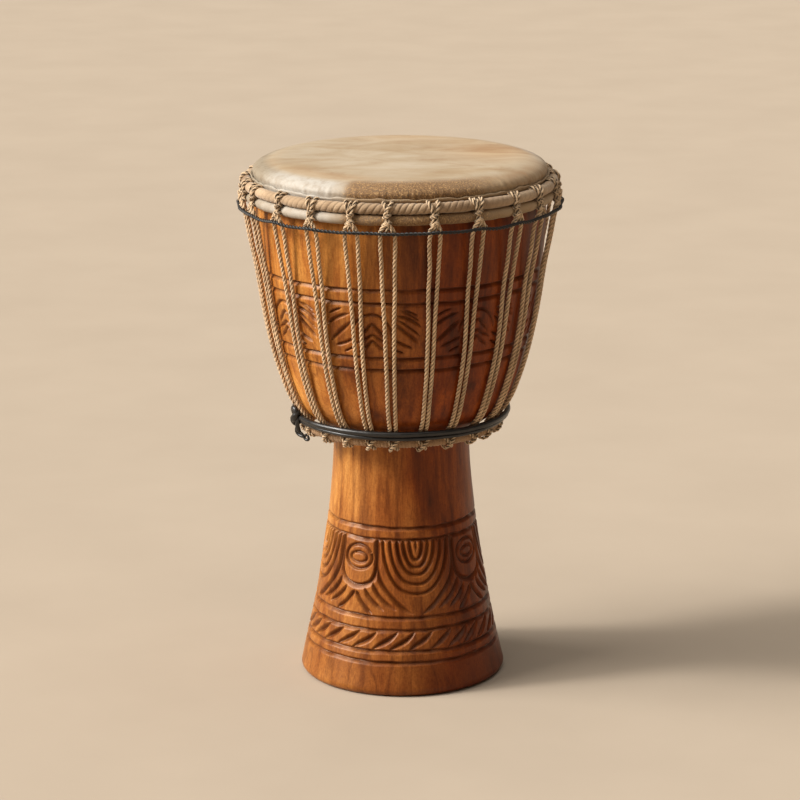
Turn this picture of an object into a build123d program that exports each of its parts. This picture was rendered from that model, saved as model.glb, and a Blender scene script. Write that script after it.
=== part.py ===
"""Djembe: a one-piece goblet drum shell of carved hardwood, with a goat-skin
head, three rope-wrapped or cloth-wrapped steel rings and rope tensioning.
Millimetres, +Z up, origin at the centre of the foot, on the floor. Azimuths
run from the front (-Y) round towards the player's right (+X)."""
from build123d import *
import math
import os

# ---- driving dimensions -----------------------------------------------------
TOTAL_HEIGHT = 500.0          # foot to playing surface
LACES = 24                    # rope pairs round the drum
# The pairs are tied by hand. Those at the front stand at these azimuths, in
# degrees, and the rest share the back evenly.
FRONT_LACES = [-78.5, -64.5, -48.5, -33.0, -17.7, -4.6, 12.0, 28.4, 45.5, 60.0, 75.5]
SKIN = 0.9                    # hide thickness
GAP = 0.3                     # running clearance between soft pieces

# goblet outside, radius and height, from the foot up to the neck
FOOT_RADIUS = 97.8
FOOT_EDGE = 2.0
STEM_CURVE = [
    (FOOT_RADIUS, FOOT_EDGE), (92.9, 28.7), (88.7, 47.8), (83.7, 71.7), (79.6, 95.6),
    (75.0, 124.3), (70.8, 153.0), (67.6, 181.6), (65.3, 210.0), (64.4, 240.0),
]
# bowl outside, from the neck up to the rim
RIM_RADIUS = 135.4
RIM_LOW = 466.0
BOWL_CURVE = [
    (64.4, 240.0), (80.0, 250.7), (90.0, 258.2), (95.7, 263.4), (100.2, 269.5),
    (108.5, 287.0), (117.5, 315.5), (124.3, 344.0), (129.3, 373.0), (133.3, 402.0),
    (136.0, 430.0), (136.9, 446.0), (136.3, 458.0), (RIM_RADIUS, RIM_LOW),
]
# bearing edge
RIM_FLARE = 136.9             # radius of the outward bead under the edge
EDGE_RADIUS = 129.0           # where the skin starts to turn down
EDGE_TOP = TOTAL_HEIGHT - SKIN - GAP
# inside, from the mouth of the bowl through the throat to the foot
BORE_CURVE = [
    (122.5, 488.0), (122.0, 460.0), (119.3, 420.0), (114.0, 380.0), (107.0, 345.0),
    (97.5, 315.0), (84.0, 288.0), (68.0, 266.0), (54.5, 250.0), (48.5, 230.0),
    (50.0, 200.0), (54.0, 160.0), (61.0, 110.0), (70.0, 60.0), (82.0, 0.0),
]
# turned grooves: height, depth and half width
BOWL_GROOVES = (401.3, 388.9, 336.1, 324.0)
STEM_GROOVES = (158.7, 147.7, 74.6, 62.7, 43.0, 32.9)
GROOVE_DEPTH = 2.2
GROOVE_HALF = 2.0

# rings: circle radius, height, wrap radius and steel rod radius
CROWN_RING = (142.9, 478.85, 5.1, 3.9)
FLESH_RING = (142.3, 468.4, 5.1, 3.9)
BOTTOM_RING = (90.0, 247.5, 4.9, 3.7)

# ropes and cords
ROPE = 2.3                    # tension rope radius
LOOP = 1.7                    # crown loop cord radius
HITCH = 1.6                   # bottom hitch cord radius
TOP_CORD = (152.9, 458.4, 1.4)
LOW_CORD = (101.5, 256.9, 3.35)
KNOT_AZIMUTH = -71.5

# one leg of a tension rope: radius, half spacing and height, from the bottom up
ROPE_ROUTE = [
    (93.2, 2.5, 256.8), (98.2, 2.6, 262.2), (103.2, 2.7, 268.9), (111.7, 2.9, 287.5),
    (120.7, 3.1, 315.5), (127.3, 3.4, 344.0), (132.2, 3.9, 373.0), (136.6, 4.9, 402.0),
    (149.0, 6.7, 459.0),
]
ROPE_PEAK = (150.2, 0.0, 468.7)
ROPE_RADII = [14.0, 40.0, 60.0, 80.0, 100.0, 120.0, 140.0, 7.0]
PEAK_RADIUS = 3.9

os.makedirs("parts", exist_ok=True)


def save(name, shape):
    shape.label = name
    export_step(shape, f"parts/{name}.step")
    solids = shape.solids()
    volume = sum(s.volume for s in solids)
    print(f"{name:24s} solids {len(solids):3d}  volume {volume:12.1f}")


def turned(face):
    return revolve(face, Axis.Z)


def tube_ring(radius, height, outer, inner=0.0):
    """A ring round Z with a round section, hollow if inner is given."""
    with BuildSketch(Plane.XZ) as section:
        with Locations((radius, height)):
            Circle(outer)
            if inner:
                Circle(inner, mode=Mode.SUBTRACT)
    return turned(section.sketch)


def lace_azimuths():
    back_count = LACES - len(FRONT_LACES)
    first, last = FRONT_LACES[0] + 360.0, FRONT_LACES[-1]
    step = (first - last) / (back_count + 1)
    return FRONT_LACES + [last + step * (index + 1) for index in range(back_count)]


def at_azimuth(shape, azimuth):
    """Turns a piece made along +X to its azimuth from the front."""
    return Rot(0, 0, azimuth - 90.0) * shape


def swept(path, radius):
    plane = Plane(origin=path @ 0, z_dir=path % 0)
    return sweep(plane * Circle(radius), path=path)


# ---- shell ------------------------------------------------------------------
def make_shell():
    with BuildSketch(Plane.XZ) as section:
        with BuildLine():
            Line((82.0, 0.0), (FOOT_RADIUS - FOOT_EDGE, 0.0))
            Line((FOOT_RADIUS - FOOT_EDGE, 0.0), (FOOT_RADIUS, FOOT_EDGE))
            Spline(*STEM_CURVE)
            Spline(*BOWL_CURVE)
            Line((RIM_RADIUS, RIM_LOW), (RIM_RADIUS, 483.0))
            Line((RIM_RADIUS, 483.0), (RIM_FLARE, 489.0))
            ThreePointArc((RIM_FLARE, 489.0), (135.0, 496.2), (EDGE_RADIUS, EDGE_TOP))
            Line((EDGE_RADIUS, EDGE_TOP), (126.5, EDGE_TOP - 0.6))
            Line((126.5, EDGE_TOP - 0.6), BORE_CURVE[0])
            Spline(*BORE_CURVE)
        make_face()
    body = turned(section.sketch)

    def outside(height):
        curve = BOWL_CURVE if height > 240.0 else STEM_CURVE
        for low, high in zip(curve, curve[1:]):
            if low[1] <= height <= high[1]:
                part = (height - low[1]) / (high[1] - low[1])
                slope = (high[0] - low[0]) / (high[1] - low[1])
                return low[0] + part * (high[0] - low[0]), slope
        raise ValueError(height)

    with BuildSketch(Plane.XZ) as cuts:
        for height in BOWL_GROOVES + STEM_GROOVES:
            radius, slope = outside(height)
            grow = 1.2
            half = GROOVE_HALF * (1 + grow / GROOVE_DEPTH)
            with BuildLine():
                Polyline(
                    (radius - GROOVE_DEPTH, height),
                    (radius + grow + slope * half, height + half),
                    (radius + grow - slope * half, height - half),
                    (radius - GROOVE_DEPTH, height),
                )
            make_face()
    return body - turned(cuts.sketch)


# ---- head -------------------------------------------------------------------
def make_drumhead():
    """Hide over the edge, down the rim, round the flesh ring and up to a lip."""
    inner = RIM_RADIUS + GAP
    doubled = inner + 2 * SKIN - 0.1
    with BuildSketch(Plane.XZ) as section:
        with BuildLine():
            Polyline((0.0, EDGE_TOP + GAP), (EDGE_RADIUS, EDGE_TOP + GAP))
            ThreePointArc(
                (EDGE_RADIUS, EDGE_TOP + GAP), (135.25, 496.45), (RIM_FLARE + GAP, 489.0)
            )
            Polyline(
                (RIM_FLARE + GAP, 489.0), (inner, 483.0), (inner, FLESH_RING[1] - 1.0),
                (doubled, FLESH_RING[1] - 1.0), (doubled, 483.6), (139.7, 485.6),
                (139.4, 486.8), (137.0, 485.2), (138.2, 490.0),
            )
            ThreePointArc((138.2, 490.0), (136.0, 497.0), (EDGE_RADIUS, TOTAL_HEIGHT))
            Polyline((EDGE_RADIUS, TOTAL_HEIGHT), (0.0, TOTAL_HEIGHT), (0.0, EDGE_TOP + GAP))
        make_face()
        with Locations((FLESH_RING[0], FLESH_RING[1])):
            Circle(FLESH_RING[2])
            Circle(FLESH_RING[3] + GAP, mode=Mode.SUBTRACT)
    return turned(section.sketch)


# ---- rope work --------------------------------------------------------------
def make_crown_loop():
    """Two strands over the crown ring, held by a wrap between the two rings."""
    ring_r, ring_z, wrap, _ = CROWN_RING
    over = wrap + LOOP + 0.25
    foot_z = 469.0
    strands = []
    for side in (-2.0, 2.0):
        plane = Plane(origin=(0, side, 0), x_dir=(1, 0, 0), z_dir=(0, -1, 0))
        with BuildLine(plane) as line:
            arc = CenterArc((ring_r, ring_z), over, 97.0, -97.0)
            Line(arc @ 1, (ring_r + over, foot_z))
        strands.append(swept(line.wire(), LOOP))
    centre_r = ring_r + over
    belt = Plane(origin=(centre_r + 0.3, 0, 473.8), x_dir=(1, 0, 0.158), z_dir=(-0.158, 0, 1))
    band = swept((belt * RectangleRounded(5.8, 9.8, 2.6)).face().outer_wire(), HITCH)
    return strands[0] + strands[1] + band


def make_tension_rope():
    """One rope span: up one leg, over the peak and down the other."""
    left = [(r, -t, z) for r, t, z in ROPE_ROUTE]
    right = [(r, t, z) for r, t, z in reversed(ROPE_ROUTE)]
    radii = ROPE_RADII + [PEAK_RADIUS] + list(reversed(ROPE_RADII))
    with BuildLine() as line:
        FilletPolyline(*left, ROPE_PEAK, *right, radius=radii)
    rope = swept(line.wire(), ROPE)
    expected = math.pi * ROPE**2 * line.wire().length
    print(f"rope span length {line.wire().length:.1f}, volume ratio {rope.volume / expected:.4f}")
    return rope


def make_bottom_hitch():
    """Two cords crossing on the outside of the bottom ring."""
    ring_r, ring_z, _, _ = BOTTOM_RING
    reach = 7.15
    tilt = 20.0
    strands = []
    for side in (-tilt, tilt):
        frame = Plane(
            origin=(ring_r, 0, ring_z),
            x_dir=(1, 0, 0),
            z_dir=(0, -math.cos(math.radians(side)), math.sin(math.radians(side))),
        )
        with BuildLine(frame) as line:
            CenterArc((0, 0), reach, 40.0, -228.0)
        strands.append(swept(line.wire(), HITCH))
    return strands[0] + strands[1]


def make_low_cord():
    """Thick cord round the rope ends, tied in a knot with two short tails."""
    radius, height, thick = LOW_CORD
    cord = tube_ring(radius, height, thick)
    with BuildSketch(Plane.XZ) as lump:
        with BuildLine():
            Spline((0, -9.8), (4.4, -7.6), (6.0, 0.0), (4.4, 7.6), (0, 9.8))
            Line((0, 9.8), (0, -9.8))
        make_face()
    knot = Pos(radius + 0.9, 0, height - 5.0) * Rot(0, -12, 0) * turned(lump.sketch)
    with BuildLine() as tail_line:
        FilletPolyline(
            (radius + 1.5, -2, height - 11), (radius - 0.5, -3, height - 20),
            (radius - 2.5, 4.0, height - 27), (radius - 3.5, 9.0, height - 25),
            radius=[4.0, 3.5],
        )
    tail = swept(tail_line.wire(), 1.3)
    return cord + at_azimuth(knot + tail, KNOT_AZIMUTH)


# ---- build every node -------------------------------------------------------
save("shell", make_shell())
save("drumhead", make_drumhead())

for ring_name, ring in (("crown", CROWN_RING), ("bottom", BOTTOM_RING)):
    save(f"{ring_name}_ring_wrap", tube_ring(ring[0], ring[1], ring[2], ring[3] + GAP))
for ring_name, ring in (("crown", CROWN_RING), ("flesh", FLESH_RING), ("bottom", BOTTOM_RING)):
    save(f"{ring_name}_ring_rod", tube_ring(ring[0], ring[1], ring[3]))

crown_loop = make_crown_loop()
tension_rope = make_tension_rope()
bottom_hitch = make_bottom_hitch()
hitches = []
for index, azimuth in enumerate(lace_azimuths(), start=1):
    save(f"crown_loop_{index:02d}", at_azimuth(crown_loop, azimuth))
    save(f"tension_rope_{index:02d}", at_azimuth(tension_rope, azimuth))
    hitches.append(at_azimuth(bottom_hitch, azimuth))
save("bottom_hitches", Compound(children=hitches))

save("top_binding_cord", tube_ring(*TOP_CORD))
save("low_binding_cord", make_low_cord())
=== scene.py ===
"""Looks of the djembe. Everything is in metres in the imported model's frame;
lengths written in mm below are scaled by MM where the meshes are made."""

import math

import bpy
import numpy as np
from mathutils import Matrix, Vector


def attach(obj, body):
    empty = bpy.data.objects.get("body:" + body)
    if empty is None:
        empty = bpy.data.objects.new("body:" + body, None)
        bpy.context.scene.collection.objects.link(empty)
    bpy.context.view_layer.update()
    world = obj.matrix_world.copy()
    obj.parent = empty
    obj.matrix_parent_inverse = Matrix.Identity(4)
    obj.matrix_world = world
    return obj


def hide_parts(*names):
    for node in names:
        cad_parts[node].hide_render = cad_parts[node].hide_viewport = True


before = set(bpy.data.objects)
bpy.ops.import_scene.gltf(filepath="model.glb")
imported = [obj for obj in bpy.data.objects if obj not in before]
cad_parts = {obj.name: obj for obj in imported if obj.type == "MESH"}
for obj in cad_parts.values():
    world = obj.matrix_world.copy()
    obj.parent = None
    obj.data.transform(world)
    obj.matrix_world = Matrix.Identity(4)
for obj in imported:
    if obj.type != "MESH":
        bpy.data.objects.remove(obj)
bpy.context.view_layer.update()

MM = 0.001
TAU = 2 * math.pi
# Rope pairs: how many, the azimuths in degrees of those at the front, and the rest spread evenly.
LACES = 24
FRONT_LACES = [-77.3, -66.1, -48.5, -33.0, -17.7, -4.6, 12.0, 28.4, 45.5, 59.6, 76.8]
BACK_COUNT = LACES - len(FRONT_LACES)
BACK_STEP = (FRONT_LACES[0] + 360.0 - FRONT_LACES[-1]) / (BACK_COUNT + 1)
BACK_LACES = [FRONT_LACES[-1] + BACK_STEP * (k + 1) for k in range(BACK_COUNT)]
HITCHES = np.array(FRONT_LACES + BACK_LACES)


def front_azimuth(degrees):
    """Unit vectors (radial, tangential) at an azimuth counted from -Y towards +X."""
    a = np.radians(degrees)
    radial = np.stack([np.sin(a), -np.cos(a), np.zeros_like(a)], -1)
    along = np.stack([np.cos(a), np.sin(a), np.zeros_like(a)], -1)
    return radial, along


def in_scene(name, data):
    """A new object that holds the data."""
    made = bpy.data.objects.new(name, data)
    bpy.context.scene.collection.objects.link(made)
    return made


# ---- mesh helpers -----------------------------------------------------------
PLY_GAP_SHADE_DEPTH = 0.36  # how deep the painted shade in the gaps between plies reaches, in rope radii
CAP_BULGE = 0.5  # how far a tube's end bulges, in tube radii
PLY_SHARE = {2: 0.50, 3: 0.49}  # a ply's radius by the number of plies, in rope radii
PLY_SWELL = 1.04  # plies are this much thicker, to press into each other


class Builder:
    """Collects grids and tubes, in mm, into one mesh."""

    def __init__(self):
        self.verts, self.uvs, self.valleys = [], [], []
        self.quads, self.tris = [], []
        self.count = 0

    def grid(self, points, close_rows=False, close_cols=False, uv=None, valley=None):
        rows, cols = points.shape[:2]
        index = np.arange(rows * cols).reshape(rows, cols) + self.count
        if close_rows:
            index = np.vstack([index, index[:1]])
        if close_cols:
            index = np.hstack([index, index[:, :1]])
        quads = np.stack([index[:-1, :-1], index[:-1, 1:], index[1:, 1:], index[1:, :-1]], -1)
        self.quads.append(quads.reshape(-1, 4))
        self.verts.append(points.reshape(-1, 3))
        if uv is None:
            uv = np.zeros((rows, cols, 2))
        self.uvs.append(uv.reshape(-1, 2))
        self.valleys.append(np.zeros(rows * cols) if valley is None else valley.ravel())
        self.count += rows * cols

    def cap(self, ring, centre, flip):
        n = len(ring)
        index = np.arange(n) + self.count
        self.verts.append(np.vstack([ring, centre]))
        self.uvs.append(np.zeros((n + 1, 2)))
        self.valleys.append(np.zeros(n + 1))
        pair = (index, np.roll(index, -1))
        if flip:
            pair = pair[::-1]
        self.tris.append(np.stack([pair[0], pair[1], np.full(n, self.count + n)], -1))
        self.count += n + 1

    def tube(self, path, radius, sides=8, closed=False, core=None, reach=1.0):
        """A tube of given radius (number or one per point) along path. core and reach
        are the middle line and radius of the rope that the tube is a ply of."""
        path = np.asarray(path, float)
        n = len(path)
        radius = np.broadcast_to(radius, (n,))
        normal, binormal, length = frames(path, closed)
        angle = np.arange(sides) * TAU / sides
        a = angle[None, :, None]
        ring = np.cos(a) * normal[:, None] + np.sin(a) * binormal[:, None]
        points = path[:, None] + ring * radius[:, None, None]
        uv = np.stack(
            [np.broadcast_to(angle / TAU, (n, sides)), np.broadcast_to(length[:, None], (n, sides))], -1
        )
        valley = None
        # How far each point lies in the gap between plies; the yarn material paints shade there.
        if core is not None:
            out = np.linalg.norm(points - core[:, None], axis=-1) / reach
            valley = np.clip((1.0 - out) / PLY_GAP_SHADE_DEPTH, 0, 1)
        self.grid(points, close_rows=closed, close_cols=True, uv=uv, valley=valley)
        if not closed:
            tip = (path[0] - path[1]) / np.linalg.norm(path[0] - path[1])
            self.cap(points[0], path[0] + tip * radius[0] * CAP_BULGE, False)
            tip = (path[-1] - path[-2]) / np.linalg.norm(path[-1] - path[-2])
            self.cap(points[-1], path[-1] + tip * radius[-1] * CAP_BULGE, True)

    def rope(self, path, radius, pitch, plies=3, sides=7, closed=False, phase=0.0):
        """Laid rope: plies wound round the path."""
        path = np.asarray(path, float)
        normal, binormal, length = frames(path, closed)
        total = length[-1]
        if closed:
            total += np.linalg.norm(path[0] - path[-1])
            pitch = total / max(1, round(total / pitch))
        share = PLY_SHARE[plies]
        for k in range(plies):
            a = TAU * (length / pitch + k / plies) + phase
            offset = np.cos(a)[:, None] * normal + np.sin(a)[:, None] * binormal
            middle = path + offset * radius * (1 - share)
            self.tube(middle, radius * share * PLY_SWELL, sides, closed, path, radius)

    def piece(self, name, material, node, slot, layers=None):
        """The mesh as a piece that takes the place of a CAD node."""
        mesh = bpy.data.meshes.new(name)
        verts = np.concatenate(self.verts) * MM
        quads = np.concatenate(self.quads) if self.quads else np.zeros((0, 4), int)
        tris = np.concatenate(self.tris) if self.tris else np.zeros((0, 3), int)
        loops = np.concatenate([quads.ravel(), tris.ravel()])
        starts = np.concatenate([np.arange(len(quads)) * 4, len(quads) * 4 + np.arange(len(tris)) * 3])
        mesh.vertices.add(len(verts))
        mesh.vertices.foreach_set("co", verts.ravel())
        mesh.loops.add(len(loops))
        mesh.loops.foreach_set("vertex_index", loops.astype(np.int32))
        mesh.polygons.add(len(starts))
        mesh.polygons.foreach_set("loop_start", starts.astype(np.int32))
        mesh.update(calc_edges=True)
        uv = mesh.uv_layers.new(name="along")
        uv.data.foreach_set("uv", np.concatenate(self.uvs)[loops].ravel())
        layers = dict(layers or {}, valley=np.concatenate(self.valleys))
        for layer, values in layers.items():
            data = mesh.attributes.new(layer, "FLOAT", "POINT")
            data.data.foreach_set("value", np.asarray(values, np.float32).ravel())
        mesh.polygons.foreach_set("use_smooth", np.ones(len(starts), bool))
        mesh.validate()
        piece = in_scene(name, mesh)
        mesh.materials.append(material)
        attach(piece, "root")
        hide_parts(node)
        return piece


def length_so_far(path):
    return np.concatenate([[0], np.cumsum(np.linalg.norm(np.diff(path, axis=0), axis=1))])


def frames(path, closed=False):
    """Parallel-transported normal and binormal, and the length so far."""
    path = np.asarray(path, float)
    n = len(path)
    if closed:
        tangent = np.roll(path, -1, 0) - np.roll(path, 1, 0)
    else:
        tangent = np.gradient(path, axis=0)
    tangent /= np.linalg.norm(tangent, axis=1)[:, None]
    length = length_so_far(path)
    normal = np.zeros((n, 3))
    seed = np.array([0.0, 0, 1]) if abs(tangent[0, 2]) < 0.8 else np.array([1.0, 0, 0])
    current = np.cross(tangent[0], seed)
    for i in range(n):
        current = current - tangent[i] * (current @ tangent[i])
        current = current / math.sqrt(current @ current)
        normal[i] = current
    if closed:
        start = normal[0] - tangent[-1] * (normal[0] @ tangent[-1])
        start /= np.linalg.norm(start)
        slip = math.atan2(np.cross(normal[-1], start) @ tangent[-1], normal[-1] @ start)
        a = slip * np.arange(n)[:, None] / n
        normal = np.cos(a) * normal + np.sin(a) * np.cross(tangent, normal)
    return normal, np.cross(tangent, normal), length


def smooth_path(points, step):
    """Natural cubic spline through the points, resampled at a step."""
    points = np.asarray(points, float)
    knots = length_so_far(points)
    n = len(points)
    gap = np.diff(knots)
    matrix, right = np.eye(n), np.zeros((n, points.shape[1]))
    for i in range(1, n - 1):
        matrix[i, i - 1 : i + 2] = gap[i - 1], 2 * (gap[i - 1] + gap[i]), gap[i]
        rise = (points[i + 1] - points[i]) / gap[i] - (points[i] - points[i - 1]) / gap[i - 1]
        right[i] = 6 * rise
    bend = np.linalg.solve(matrix, right)
    t = np.linspace(0, knots[-1], max(2, round(knots[-1] / step) + 1))
    i = np.clip(np.searchsorted(knots, t, side="right") - 1, 0, n - 2)
    a, b, h = (knots[i + 1] - t)[:, None], (t - knots[i])[:, None], gap[i][:, None]
    return (
        bend[i] * a**3 / (6 * h)
        + bend[i + 1] * b**3 / (6 * h)
        + (points[i] / h - bend[i] * h / 6) * a
        + (points[i + 1] / h - bend[i + 1] * h / 6) * b
    )


def placed(local, azimuth):
    """Points given as radius, tangential offset and height, set at an azimuth."""
    local = np.asarray(local, float)
    radial, along = front_azimuth(azimuth)
    return local[..., 0:1] * radial + local[..., 1:2] * along + local[..., 2:3] * [0, 0, 1]


def lay(build, points, step, azimuth, rng, *rope):
    """A laid rope through local points, its plies starting at a random turn."""
    path = placed(smooth_path(points, step), azimuth)
    build.rope(path, *rope, phase=rng.uniform(0, TAU))


def wobble(angle, terms, size, seed):
    """A smooth closed random curve of an angle in radians."""
    rng = np.random.default_rng(seed)
    total = np.zeros_like(angle)
    for k in terms:
        total += np.sin(k * angle + rng.uniform(0, TAU)) * rng.uniform(0.5, 1.0)
    return total * size / math.sqrt(len(terms))


def all_round(radius, height, azimuth):
    """Points round the axis, for one line or for many."""
    radial, _ = front_azimuth(azimuth)
    return radius[..., None] * radial + height[..., None] * np.array([0, 0, 1.0])


def round_piece(radius, height, azimuth, *named, layers=None):
    """A piece with a closed section all round the axis."""
    build = Builder()
    build.grid(all_round(radius, height, azimuth), close_rows=True, close_cols=True)
    return build.piece(*named, layers=layers)


# ---- materials --------------------------------------------------------------
class Nodes:
    """Short way to build a node material."""

    def __init__(self, name):
        self.material = bpy.data.materials.new(name)
        self.material.use_nodes = True
        self.tree = self.material.node_tree
        self.shader = self.tree.nodes["Principled BSDF"]

    def add(self, kind, inputs=None, **settings):
        node = self.tree.nodes.new(kind)
        for key, value in settings.items():
            setattr(node, key, value)
        for key, value in (inputs or {}).items():
            self.put(node.inputs[key], value)
        return node

    def put(self, socket, value):
        if isinstance(value, bpy.types.NodeSocket):
            self.tree.links.new(value, socket)
        else:
            socket.default_value = value

    def noise(self, scale, detail=4.0, rough=0.55, distortion=0.0, stretch=(1, 1, 1)):
        coords = self.add("ShaderNodeTexCoord").outputs["Object"]
        place = self.add("ShaderNodeMapping", {"Vector": coords, "Scale": stretch})
        inputs = {"Vector": place.outputs[0], "Scale": scale, "Detail": detail}
        inputs.update(Roughness=rough, Distortion=distortion)
        return self.add("ShaderNodeTexNoise", inputs).outputs["Fac"]

    def ramp(self, value, stops):
        node = self.add("ShaderNodeValToRGB", {"Fac": value})
        points = node.color_ramp.elements
        while len(points) < len(stops):
            points.new(0.5)
        for point, (where, colour) in zip(points, stops):
            point.position = where
            point.color = (*colour, 1) if len(colour) == 3 else colour
        return node.outputs["Color"]

    def math(self, operation, a, b=0.0, c=0.0, clamp=False):
        node = self.add("ShaderNodeMath", operation=operation, use_clamp=clamp)
        for socket, value in zip(node.inputs, (a, b, c)):
            self.put(socket, value)
        return node.outputs[0]

    def line(self, value, slope, start, clamp=False):
        """value times slope plus start."""
        return self.math("MULTIPLY_ADD", value, slope, start, clamp)

    def mix(self, factor, a, b, blend="MIX"):
        node = self.add("ShaderNodeMix", data_type="RGBA", blend_type=blend)
        self.put(node.inputs["Factor"], factor)
        for key, value in (("A", a), ("B", b)):
            socket = [s for s in node.inputs if s.name == key and s.type == "RGBA"][0]
            if isinstance(value, tuple) and len(value) == 3:
                value = (*value, 1)
            self.put(socket, value)
        return [s for s in node.outputs if s.type == "RGBA"][0]

    def bump(self, height, strength, distance, normal=None):
        inputs = {"Height": height, "Strength": strength, "Distance": distance}
        if normal is not None:
            inputs["Normal"] = normal
        return self.add("ShaderNodeBump", inputs).outputs[0]

    def attribute(self, name):
        return self.add("ShaderNodeAttribute", attribute_name=name).outputs["Fac"]

    def done(self, colour, rough, normal=None, **constants):
        self.put(self.shader.inputs["Base Color"], colour)
        self.put(self.shader.inputs["Roughness"], rough)
        if normal is not None:
            self.put(self.shader.inputs["Normal"], normal)
        for key, value in constants.items():
            self.shader.inputs[key.replace("_", " ")].default_value = value
        return self.material


def wood_material():
    """Oiled hardwood, golden on the flank towards the key light and red-brown on the flank away from it,
    as painted light and shade; lighter at the neck.
    """
    n = Nodes("carved_wood")
    coords = n.add("ShaderNodeTexCoord").outputs["Object"]
    parts = n.add("ShaderNodeSeparateXYZ", {"Vector": coords})
    across, height = parts.outputs[0], parts.outputs[2]
    streaks = n.noise(75, 5, 0.6, stretch=(1, 1, 0.07), distortion=0.3)
    broad = n.noise(9, 3, 0.5, stretch=(1, 1, 0.5))
    blotch = n.noise(45, 4, 0.6, stretch=(1, 1, 0.4), distortion=0.6)
    pores = n.noise(900, 3, 0.7, stretch=(1, 1, 0.10))
    leather = n.noise(520, 3, 0.65)
    # Painted light and shade: the flank share runs from red-brown on the +X side, away from the key
    # light, to golden on the -X side, which faces it.
    drift = n.line(broad, 1.3, -0.43)
    flank = n.line(across, -6.4, drift, clamp=True)
    grain = n.line(streaks, 0.72, n.math("MULTIPLY", blotch, 0.28))
    calm = n.line(height, -160.0, 6.2, clamp=True)
    calm = n.math("MULTIPLY", calm, 0.62)
    grain = n.line(n.math("SUBTRACT", 0.47, grain), calm, grain)
    golden = n.ramp(
        grain,
        [(0.36, (0.225, 0.064, 0.010)), (0.44, (0.370, 0.130, 0.023)),
         (0.53, (0.520, 0.222, 0.047)), (0.66, (0.630, 0.310, 0.080))],
    )
    red = n.ramp(
        grain,
        [(0.36, (0.066, 0.0090, 0.0008)), (0.44, (0.122, 0.0185, 0.0014)),
         (0.53, (0.192, 0.0340, 0.0027)), (0.66, (0.275, 0.0580, 0.0056))],
    )
    # Painted light and shade: golden wood on the lit flank, red-brown on the shaded flank.
    base = n.mix(flank, red, golden)
    # Colour by height: darker towards the bottom of the foot, lighter and more golden from the neck to
    # the base of the bowl.
    height_tone = n.ramp(
        n.math("MULTIPLY", height, 2.0),
        [(0.04, (0.86, 0.84, 0.84)), (0.20, (0.98, 0.98, 0.98)), (0.36, (1.20, 1.36, 1.50)),
         (0.46, (1.20, 1.34, 1.45)), (0.58, (1.20, 1.20, 1.20)), (0.66, (1.0, 0.98, 0.94))],
    )
    base = n.mix(1.0, base, height_tone, "MULTIPLY")
    veins = n.math("ABSOLUTE", n.math("SUBTRACT", n.noise(34, 3, 0.5, stretch=(1, 1, 0.05)), 0.5))
    vein = n.ramp(veins, [(0.0, (0.42, 0.32, 0.26)), (0.035, (1.0, 1.0, 1.0))])
    base = n.mix(0.55, base, vein, "MULTIPLY")
    fine = n.ramp(pores, [(0.36, (0.52, 0.42, 0.36)), (0.54, (1.04, 1.04, 1.04))])
    base = n.mix(0.55, base, fine, "MULTIPLY")
    mottle = n.ramp(leather, [(0.34, (0.78, 0.70, 0.62)), (0.62, (1.14, 1.14, 1.12))])
    base = n.mix(0.6, base, mottle, "MULTIPLY")
    # Darker in the carved cuts by their depth: the cuts' own stain and painted shade.
    cut = n.math("MULTIPLY", n.attribute("carve"), 0.62, clamp=True)
    base = n.mix(cut, base, (0.060, 0.0125, 0.002))
    rough = n.line(blotch, 0.26, n.line(cut, -0.07, 0.30))
    normal = n.bump(pores, 0.12, 0.0004)
    normal = n.bump(leather, 0.10, 0.0005, normal)
    normal = n.bump(blotch, 0.20, 0.0012, normal)
    return n.done(base, rough, normal, Specular_IOR_Level=0.33, Specular_Tint=(1.0, 0.80, 0.64, 1.0))


def inside_material():
    """The bore's bare wood, with tool marks."""
    n = Nodes("inside_wood")
    grain = n.noise(60, 5, 0.65, stretch=(1, 1, 0.2), distortion=0.3)
    tool = n.noise(90, 2, 0.4, stretch=(1, 1, 0.6))
    base = n.ramp(grain, [(0.3, (0.16, 0.065, 0.025)), (0.7, (0.33, 0.15, 0.065))])
    normal = n.bump(tool, 0.6, 0.002, n.bump(grain, 0.3, 0.0006))
    return n.done(base, 0.75, normal)


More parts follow.
